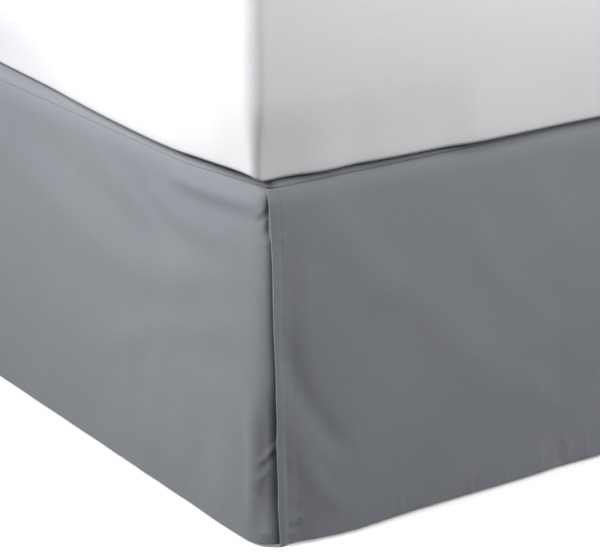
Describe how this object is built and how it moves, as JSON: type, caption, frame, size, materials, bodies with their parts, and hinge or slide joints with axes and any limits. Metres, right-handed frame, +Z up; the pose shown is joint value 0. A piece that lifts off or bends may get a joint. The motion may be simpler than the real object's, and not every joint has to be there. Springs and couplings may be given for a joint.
{
  "type": "bed skirt on a bed",
  "caption": "Tailored grey bed skirt hanging flat from a bed base at its sides and foot, with lapped split corners, under a plain white mattress.",
  "frame": {"origin": "middle of the whole part's footprint, on the floor", "axes": "+Y from the foot of the bed to its head, +Z up, +X across the bed"},
  "size_m": [1.537, 2.0512, 0.6952],
  "materials": {
    "skirt_cloth": "smooth brushed microfibre, soft sheen",
    "mattress_cover": "plain white woven cover",
    "base_cover": "plain pale grey upholstery cloth",
    "leg_finish": "dark stained wood"
  },
  "bodies": {
    "root": {"base_box": "base_cover", "mattress": "mattress_cover", "deck_cloth": "skirt_cloth", "side_drop_left": "skirt_cloth", "side_drop_right": "skirt_cloth", "foot_drop": "skirt_cloth", "leg_1": "leg_finish", "leg_2": "leg_finish", "leg_3": "leg_finish", "leg_4": "leg_finish", "leg_5": "leg_finish", "leg_6": "leg_finish"}
  },
  "joints": []
}
